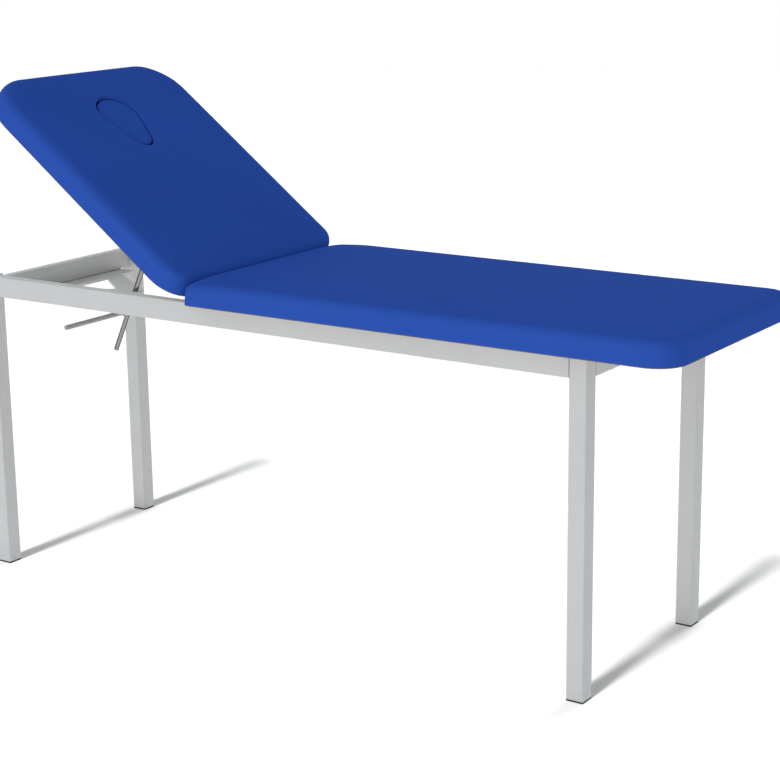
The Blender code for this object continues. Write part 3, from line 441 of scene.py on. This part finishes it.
def blue_vinyl():
    material, tree = new_material("embossed_blue_vinyl")
    place = add_node(tree, "ShaderNodeTexCoord", {}, {}).outputs["Object"]
    shade = add_node(tree, "ShaderNodeTexNoise", {},
                     {"Vector": place, "Scale": 1.0 / SHADE_SIZE, "Detail": 2.0})
    colour = add_node(tree, "ShaderNodeMix", {"data_type": "RGBA"},
                      {0: shade.outputs[0], 6: linear("#2A4DA6"), 7: linear("#2E53AF")})
    pulled = add_node(tree, "ShaderNodeAttribute", {"attribute_name": "pulled"}, {})
    paler = add_node(tree, "ShaderNodeMath", {"operation": "MULTIPLY"},
                     {0: pulled.outputs["Fac"], 1: PALER_SHARE})
    colour = add_node(tree, "ShaderNodeMix", {"data_type": "RGBA"},
                      {0: paler.outputs[0], 6: colour.outputs[2], 7: linear("#375EB8")})
    grain = add_node(tree, "ShaderNodeTexVoronoi", {"feature": "SMOOTH_F1"},
                     {"Vector": place, "Scale": 1.0 / GRAIN_SIZE, "Smoothness": 0.6})
    gloss = add_node(tree, "ShaderNodeMapRange", {},
                     {"Value": grain.outputs["Distance"], "To Min": 0.66, "To Max": 0.78})
    bump = add_node(tree, "ShaderNodeBump", {"invert": True},
                    {"Strength": 0.18, "Distance": 0.0005, "Height": grain.outputs["Distance"]})
    shader = add_node(tree, "ShaderNodeBsdfPrincipled", {},
                      {"Base Color": colour.outputs[2], "Roughness": gloss.outputs[0], "IOR": 1.5,
                       "Specular IOR Level": 0.008, "Normal": bump.outputs[0]})
    add_node(tree, "ShaderNodeOutputMaterial", {}, {"Surface": shader.outputs[0]})
    return material


vinyl = blue_vinyl()
print("made", vinyl.name)

# %% [markdown]
# ## Hardboard
# A thin sheet of brown hardboard closes each cushion's underside around its board. Hardboard is pressed from
# wood fibre, so it has no grain, only a fine felted mottle. Just its dark edge shows, as a thin line under
# each cushion. The line is partly the hardboard's own brown and partly painted shade for the gap there.

# %% Make the hardboard
FIBRE_SIZE = 0.003


def hardboard_and_shade_line():
    material, tree = new_material("brown_hardboard_and_shade")
    place = add_node(tree, "ShaderNodeTexCoord", {}, {}).outputs["Object"]
    felt = add_node(tree, "ShaderNodeTexNoise", {},
                    {"Vector": place, "Scale": 1.0 / FIBRE_SIZE, "Detail": 5.0, "Roughness": 0.7})
    colour = add_node(tree, "ShaderNodeMix", {"data_type": "RGBA"},
                      {0: felt.outputs[0], 6: linear("#4A413C"), 7: linear("#6A5D55")})
    bump = add_node(tree, "ShaderNodeBump", {},
                    {"Strength": 0.3, "Distance": 0.0003, "Height": felt.outputs[0]})
    shader = add_node(tree, "ShaderNodeBsdfPrincipled", {},
                      {"Base Color": colour.outputs[2], "Roughness": 0.7, "IOR": 1.5,
                       "Normal": bump.outputs[0]})
    add_node(tree, "ShaderNodeOutputMaterial", {}, {"Surface": shader.outputs[0]})
    return material


# The dark edge line this gives under each cushion is partly real hardboard and partly painted shade for the
# gap.
brown_hardboard_and_shade = hardboard_and_shade_line()
print("made", brown_hardboard_and_shade.name)

# %% [markdown]
# ## Cushion blanks
# A cushion is foam on a board with a cover pulled over it and stapled underneath. The foam blank is a box
# with rounded corners in plan and a large round along its top edge. At the hinge the two cushions meet with
# fuller ends, so the blank is made too long there and trimmed by a second box, which has the hinge end's own,
# smaller rounds. It is also made too deep, because its lower edge is cut sharp at the end.

# %% Define the blank
CORNER_STEPS = 10
EDGE_STEPS = 6
TOUCHING = 1e-5


def round_edges(blank, edges, radius, segments):
    bmesh.ops.bevel(blank, geom=edges, offset=radius, offset_type="OFFSET", affect="EDGES",
                    segments=segments, profile=0.5, material=-1)


def rounded_box(length, width, bottom, top, head_corner, foot_corner):
    box = bmesh.new()
    bmesh.ops.create_cube(box, size=1.0)
    bmesh.ops.scale(box, vec=(length, width, top - bottom), verts=box.verts)
    bmesh.ops.translate(box, vec=(0.0, 0.0, (top + bottom) / 2), verts=box.verts)
    for side, corner in ((-1, head_corner), (1, foot_corner)):
        upright = [e for e in box.edges if all(side * v.co.x > length / 2 - TOUCHING for v in e.verts)]
        upright = [e for e in upright if abs(e.verts[0].co.z - e.verts[1].co.z) > (top - bottom) / 2]
        round_edges(box, upright, corner, CORNER_STEPS)
    return box


def round_top(box, top, radius):
    rim = [e for e in box.edges if min(v.co.z for v in e.verts) > top - TOUCHING]
    round_edges(box, rim, radius, EDGE_STEPS)


def new_piece(name, shape):
    mesh = bpy.data.meshes.new(name)
    shape.to_mesh(mesh)
    shape.free()
    piece = bpy.data.objects.new(name, mesh)
    scene.collection.objects.link(piece)
    return piece


def applied(piece):
    graph = bpy.context.evaluated_depsgraph_get()
    mesh = bpy.data.meshes.new_from_object(piece.evaluated_get(graph))
    piece.modifiers.clear()
    old = piece.data
    piece.data = mesh
    mesh.name = piece.name
    bpy.data.meshes.remove(old)


def carve(piece, cutter, operation):
    knife = piece.modifiers.new("knife", "BOOLEAN")
    knife.operation = operation
    knife.solver = "EXACT"
    knife.object = cutter
    applied(piece)
    old = cutter.data
    bpy.data.objects.remove(cutter)
    bpy.data.meshes.remove(old)


PAD_TOP_EDGE = 0.029
SPARE_LENGTH = 0.100
SPARE_DEPTH = 0.025
TRIM_ROOM = 0.0005


def foam_blank(name, length, width, height, hinge_side, far_corner, hinge_corner, hinge_edge):
    blank = rounded_box(length + SPARE_LENGTH, width, -SPARE_DEPTH, height, far_corner, far_corner)
    round_top(blank, height, PAD_TOP_EDGE)
    bmesh.ops.translate(blank, vec=(hinge_side * SPARE_LENGTH / 2, 0.0, 0.0), verts=blank.verts)
    trim = rounded_box(length + SPARE_LENGTH, width + 2 * TRIM_ROOM, -2 * SPARE_DEPTH, height - TRIM_ROOM,
                       hinge_corner, hinge_corner)
    round_top(trim, height - TRIM_ROOM, hinge_edge)
    bmesh.ops.translate(trim, vec=(-hinge_side * SPARE_LENGTH / 2, 0.0, 0.0), verts=trim.verts)
    piece = new_piece(name, blank)
    carve(piece, new_piece("trim", trim), "INTERSECT")
    return piece


print("blank helpers ready")

# %% [markdown]
# ## Stuffing a cushion
# Cloth with a little inner pressure gives the soft crown of a stuffed cushion. The blank is remeshed into
# even squares, its stapled lower edge is pinned, and twenty frames of simulation blow it up. How far a point
# may move is limited smoothly, because foam pushes back.

# %% Define the stuffing
FRAMES = 20
PRESSURE = 4.0
SMOOTHINGS = 2


def stuff(piece, voxel, swell, held, only_rises):
    remesh = piece.modifiers.new("even_squares", "REMESH")
    remesh.mode = "VOXEL"
    remesh.voxel_size = voxel
    applied(piece)
    before = [v.co.copy() for v in piece.data.vertices]
    after = before
    stapled = piece.vertex_groups.new(name="stapled")
    stapled.add([i for i, p in enumerate(before) if held(p)], 1.0, "REPLACE")
    cloth = piece.modifiers.new("stuffing", "CLOTH")
    cloth.settings.vertex_group_mass = "stapled"
    cloth.settings.use_pressure = True
    cloth.settings.uniform_pressure_force = PRESSURE
    cloth.settings.effector_weights.gravity = 0.0
    cloth.settings.quality = 4
    cloth.collision_settings.use_collision = False
    for number in range(1, FRAMES + 1):
        scene.frame_set(number)
    graph = bpy.context.evaluated_depsgraph_get()
    after = [v.co.copy() for v in piece.evaluated_get(graph).data.vertices]
    piece.modifiers.clear()
    piece.vertex_groups.clear()
    scene.frame_set(1)
    largest = 0.0
    for vertex, start, end in zip(piece.data.vertices, before, after):
        move = end - start
        if only_rises(start):
            move = Vector((0.0, 0.0, move.z))
        largest = max(largest, move.length)
        vertex.co = start + move * (swell / (swell + move.length))
    print(piece.name, len(before), "points, free swell", round(largest * 1000, 1), "mm")


def smoothed(piece):
    shape = bmesh.new()
    shape.from_mesh(piece.data)
    for _ in range(SMOOTHINGS):
        bmesh.ops.smooth_vert(shape, verts=shape.verts, factor=0.5, use_axis_x=True, use_axis_y=True,
                              use_axis_z=True)
    shape.to_mesh(piece.data)
    shape.free()
    finer = piece.modifiers.new("finer", "SUBSURF")
    finer.levels = 1
    finer.render_levels = 1
    applied(piece)


print("pressure", PRESSURE, "for", FRAMES, "frames")

# %% [markdown]
# ## The underside
# Each board is let into its cushion from below, so the cover's rim stands around it. The sharp edges there
# would be lost in a remesh, so they are cut last, with Booleans. The lowest slice of the stuffed form becomes
# the hardboard backing, and the cushion starts above it. The place where the cover is pulled over an edge is
# found from how upright the surface is, and stored for the vinyl.

# %% Define the underside and the finish of a cushion
BACKING = 0.0016
BOARD_THICKNESS = 0.015
BOARD_INSET = 0.015
POCKET_GAP = 0.0004
CUTTER_ROOM = 0.010
SLAB_SIZE = (4.0, 2.0)
SLAB_CORNER = 0.1
SHARP_ANGLE = math.radians(50.0)


def slab(bottom, top):
    return new_piece("slab", rounded_box(*SLAB_SIZE, bottom, top, SLAB_CORNER, SLAB_CORNER))


def board_pocket(length, width, middle, head_corner, foot_corner):
    pocket = rounded_box(length + 2 * POCKET_GAP, width + 2 * POCKET_GAP, -CUTTER_ROOM,
                         BOARD_THICKNESS + POCKET_GAP, head_corner, foot_corner)
    bmesh.ops.translate(pocket, vec=(middle, 0.0, 0.0), verts=pocket.verts)
    return new_piece("pocket", pocket)


def backed(piece, name, pocket_size):
    backing = bpy.data.objects.new(name, piece.data.copy())
    scene.collection.objects.link(backing)
    carve(backing, slab(0.0, BACKING), "INTERSECT")
    carve(backing, board_pocket(*pocket_size), "DIFFERENCE")
    carve(piece, slab(-2 * SPARE_DEPTH, BACKING), "DIFFERENCE")
    carve(piece, board_pocket(*pocket_size), "DIFFERENCE")
    return backing


def place_piece(piece, place, material, body):
    mesh = piece.data
    mesh.transform(place)
    mesh.materials.clear()
    mesh.materials.append(material)
    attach(piece, body)


def upholster(piece, place, body, node):
    mesh = piece.data
    reach = [[round(pick(v.co[axis] for v in mesh.vertices), 4) for pick in (min, max)] for axis in range(3)]
    print(piece.name, "reaches", reach)
    pulled = mesh.attributes.new("pulled", "FLOAT", "POINT")
    for vertex in mesh.vertices:
        lean = abs(vertex.normal.z)
        pulled.data[vertex.index].value = 4.0 * lean * (1.0 - lean)
    mesh.polygons.foreach_set("use_smooth", [True] * len(mesh.polygons))
    mesh.set_sharp_from_angle(angle=SHARP_ANGLE)
    place_piece(piece, place, vinyl, body)
    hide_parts(node)


print("cushion finish ready")

# %% [markdown]
# ## The leg section's cushion
# The long cushion is fixed on the frame. Its size comes from its CAD solid, and the board's pocket from the
# board, so the two can't drift apart. Foam spreads a little past its board, most of all at the hinge, where
# the two cushions press on each other. At the two corners there the cover is drawn down, so they sink.

# %% Make the leg section's cushion
PAD_SWELL = 0.0015
PAD_SETTLE = 0.002
STAPLED_BELOW = 0.010
SEAT_SPREAD = 0.0025
SEAT_FOOT_SPREAD = 0.0025
SEAT_HINGE_SPREAD = 0.0055
SEAT_FOOT_CORNER = 0.065
SEAT_HINGE_CORNER = 0.024
SEAT_HINGE_EDGE = 0.018
SEAT_VOXEL = 0.0085
CORNER_REACH = 0.11
CORNER_SINK = 0.012
low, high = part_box("seat_pad")
board_low, board_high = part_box("seat_board")
seat_size = high - low
foam_height = seat_size.z - PAD_SETTLE
seat_middle = Vector(((low.x - SEAT_HINGE_SPREAD + high.x + SEAT_FOOT_SPREAD) / 2, 0.0, low.z))
foam_length = seat_size.x + SEAT_HINGE_SPREAD + SEAT_FOOT_SPREAD
foam_width = seat_size.y + 2 * SEAT_SPREAD


def sink_hinge_corners(piece):
    for vertex in piece.data.vertices:
        point = vertex.co
        away = math.hypot(point.x + foam_length / 2, abs(point.y) - foam_width / 2)
        share = max(0.0, 1.0 - away / CORNER_REACH)
        point.z -= CORNER_SINK * share * share * max(0.0, point.z) / foam_height


seat_cushion = foam_blank("seat_cushion", foam_length, foam_width, foam_height, -1, SEAT_FOOT_CORNER,
                          SEAT_HINGE_CORNER, SEAT_HINGE_EDGE)
stuff(seat_cushion, SEAT_VOXEL, PAD_SWELL, lambda p: p.z < STAPLED_BELOW, lambda p: False)
smoothed(seat_cushion)
sink_hinge_corners(seat_cushion)
board_size = board_high - board_low
board_middle = (board_low.x + board_high.x) / 2 - seat_middle.x
seat_backing = backed(seat_cushion, "seat_backing",
                      (board_size.x, board_size.y, board_middle, SEAT_HINGE_CORNER - BOARD_INSET,
                       SEAT_FOOT_CORNER - BOARD_INSET))
on_frame = Matrix.Translation(seat_middle)
upholster(seat_cushion, on_frame, "frame", "seat_pad")
place_piece(seat_backing, on_frame, brown_hardboard_and_shade, "frame")
print("seat cushion has", len(seat_cushion.data.polygons), "faces")

# %% [markdown]
# ## The backrest's cushion
# The backrest is made lying flat around its own middle. At the end it is set at its distance from the hinge
# and tilted as a whole. Its face hole is an egg-shaped opening: the outline of a wide and a narrow circle,
# whose places are counted from the hinge. The hole is cut before the remesh, so that its edge comes out as
# soft as a sewn one.

# %% Make the backrest's cushion
HINGE = Vector((-0.28725, 0.0, 0.7353))
BACK_NEAR = -0.013
BACK_FAR = -0.728
BACK_WIDTH = seat_size.y
BACK_HEAD_CORNER = 0.112
BACK_HINGE_CORNER = 0.068
BACK_HINGE_EDGE = 0.020
BACK_SPREAD = 0.0055
BACK_HEAD_SPREAD = 0.0005
BACK_HINGE_SPREAD = 0.003
FOAM_HEAD_CORNER = 0.115
FOAM_HINGE_CORNER = 0.076
BACK_VOXEL = 0.007
HOLE_WIDE = (-0.558, 0.060)
HOLE_NARROW = (-0.474, 0.034)
HOLE_ROOM = 0.016
HOLE_STEPS = 96
HOLE_LIP = 0.012
back_length = BACK_NEAR - BACK_FAR + BACK_HEAD_SPREAD + BACK_HINGE_SPREAD
back_middle = (BACK_NEAR + BACK_HINGE_SPREAD + BACK_FAR - BACK_HEAD_SPREAD) / 2
on_backrest = Matrix.Translation(HINGE) @ Matrix.Rotation(BACKREST_TILT, 4, "Y")


def egg_prism(grow, shorten, bottom, top):
    prism = bmesh.new()
    for (x, radius), inward in ((HOLE_WIDE, 1), (HOLE_NARROW, -1)):
        for z in (bottom, top):
            place = Matrix.Translation((x + inward * shorten, 0.0, z))
            bmesh.ops.create_circle(prism, cap_ends=False, segments=HOLE_STEPS, radius=radius + grow,
                                    matrix=place)
    bmesh.ops.convex_hull(prism, input=prism.verts)
    spare = [v for v in prism.verts if not v.link_faces]
    bmesh.ops.delete(prism, geom=spare, context="VERTS")
    bmesh.ops.dissolve_limit(prism, angle_limit=0.01, verts=prism.verts, edges=prism.edges)
    return prism


def near_hole(point):
    x = point.x + back_middle
    wide_end = HOLE_WIDE[0] - HOLE_WIDE[1] - HOLE_ROOM
    narrow_end = HOLE_NARROW[0] + HOLE_NARROW[1] + HOLE_ROOM
    return abs(point.y) < HOLE_WIDE[1] + HOLE_ROOM and wide_end < x < narrow_end


def back_held(point):
    return point.z < STAPLED_BELOW or (near_hole(point) and point.z < foam_height - HOLE_LIP)


back_cushion = foam_blank("backrest_cushion", back_length, BACK_WIDTH + 2 * BACK_SPREAD, foam_height, 1,
                          FOAM_HEAD_CORNER, FOAM_HINGE_CORNER, BACK_HINGE_EDGE)
face_hole = egg_prism(0.0, 0.0, -2 * SPARE_DEPTH, 2 * foam_height)
bmesh.ops.translate(face_hole, vec=(-back_middle, 0.0, 0.0), verts=face_hole.verts)
carve(back_cushion, new_piece("face_hole", face_hole), "DIFFERENCE")
stuff(back_cushion, BACK_VOXEL, PAD_SWELL, back_held, near_hole)
smoothed(back_cushion)
back_board = BACK_NEAR - BACK_FAR - 2 * BOARD_INSET
back_backing = backed(back_cushion, "backrest_backing",
                      (back_board, BACK_WIDTH - 2 * BOARD_INSET, (BACK_NEAR + BACK_FAR) / 2 - back_middle,
                       BACK_HEAD_CORNER - BOARD_INSET, BACK_HINGE_CORNER - BOARD_INSET))
back_place = on_backrest @ Matrix.Translation((back_middle, 0.0, 0.0))
upholster(back_cushion, back_place, "backrest", "backrest_pad")
place_piece(back_backing, back_place, brown_hardboard_and_shade, "backrest")
print("backrest cushion has", len(back_cushion.data.polygons), "faces")

# %% [markdown]
# ## The plug of the face hole
# The plug is a small cushion on its own board. It is the hole's outline made a little smaller, and shorter at
# both ends, so that fingers can lift it out. It has a rounded top edge and lies a few millimetres below the
# cushion around it. It is stuffed in the same way, but hardly swells.

# %% Make the plug's cushion
PLUG_GAP = 0.0006
PLUG_END_GAP = 0.0045
PLUG_FOOT = 0.0216
PLUG_TOP = 0.0488
PLUG_EDGE = 0.0035
PLUG_VOXEL = 0.003
PLUG_SWELL = 0.0015
PLUG_HELD = 0.008
plug = egg_prism(-PLUG_GAP, PLUG_END_GAP, PLUG_FOOT, PLUG_TOP)
round_top(plug, PLUG_TOP, PLUG_EDGE)
bmesh.ops.translate(plug, vec=(-HOLE_WIDE[0], 0.0, 0.0), verts=plug.verts)
plug_cushion = new_piece("face_plug_cushion", plug)
stuff(plug_cushion, PLUG_VOXEL, PLUG_SWELL, lambda p: p.z < PLUG_TOP - PLUG_HELD, lambda p: True)
smoothed(plug_cushion)
plug_place = on_backrest @ Matrix.Translation((HOLE_WIDE[0], 0.0, 0.0))
upholster(plug_cushion, plug_place, "face_plug", "plug_pad")
print("plug cushion has", len(plug_cushion.data.polygons), "faces")

# %% [markdown]
# ## The lever's spring
# A small coil of wire round the rod presses the brake plate down again when the lever is
# let go. It is a curve with a round bevel, rounder than its CAD solid. It becomes a mesh with data of its
# own. The real spring is squashed towards its upper end as the lever lifts the plate.

# %% Make the lever's spring
BRAKE = Vector((-0.70425, 0.0, 0.6188))
ROD_TILT = math.radians(25.0)
SPRING_RADIUS = 0.010
SPRING_WIRE = 0.0008
SPRING_LOW = 0.0041
SPRING_HIGH = 0.0149
SPRING_TURNS = 4
SPRING_STEPS = 32
WIRE_STEPS = 3
on_rod = Matrix.Translation(BRAKE) @ Matrix.Rotation(ROD_TILT, 4, "Y")
coil = bpy.data.curves.new("coil", "CURVE")
coil.dimensions = "3D"
coil.bevel_depth = SPRING_WIRE
coil.bevel_resolution = WIRE_STEPS
coil.use_fill_caps = True
wire = coil.splines.new("POLY")
wire.points.add(SPRING_TURNS * SPRING_STEPS)
for number, point in enumerate(wire.points):
    turn = 2 * math.pi * number / SPRING_STEPS
    height = SPRING_LOW + (SPRING_HIGH - SPRING_LOW) * number / (SPRING_TURNS * SPRING_STEPS)
    place = on_rod @ Vector((SPRING_RADIUS * math.cos(turn), SPRING_RADIUS * math.sin(turn), height))
    point.co = (*place, 1.0)
coil_object = bpy.data.objects.new("coil", coil)
scene.collection.objects.link(coil_object)
graph = bpy.context.evaluated_depsgraph_get()
spring_mesh = bpy.data.meshes.new_from_object(coil_object.evaluated_get(graph))
bpy.data.objects.remove(coil_object)
return_spring = bpy.data.objects.new("return_spring", spring_mesh)
scene.collection.objects.link(return_spring)
spring_mesh.polygons.foreach_set("use_smooth", [True] * len(spring_mesh.polygons))
place_piece(return_spring, Matrix.Identity(4), zinc_plate, "frame")
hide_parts("lever_spring")
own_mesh(return_spring)
print("spring has", len(spring_mesh.polygons), "faces")
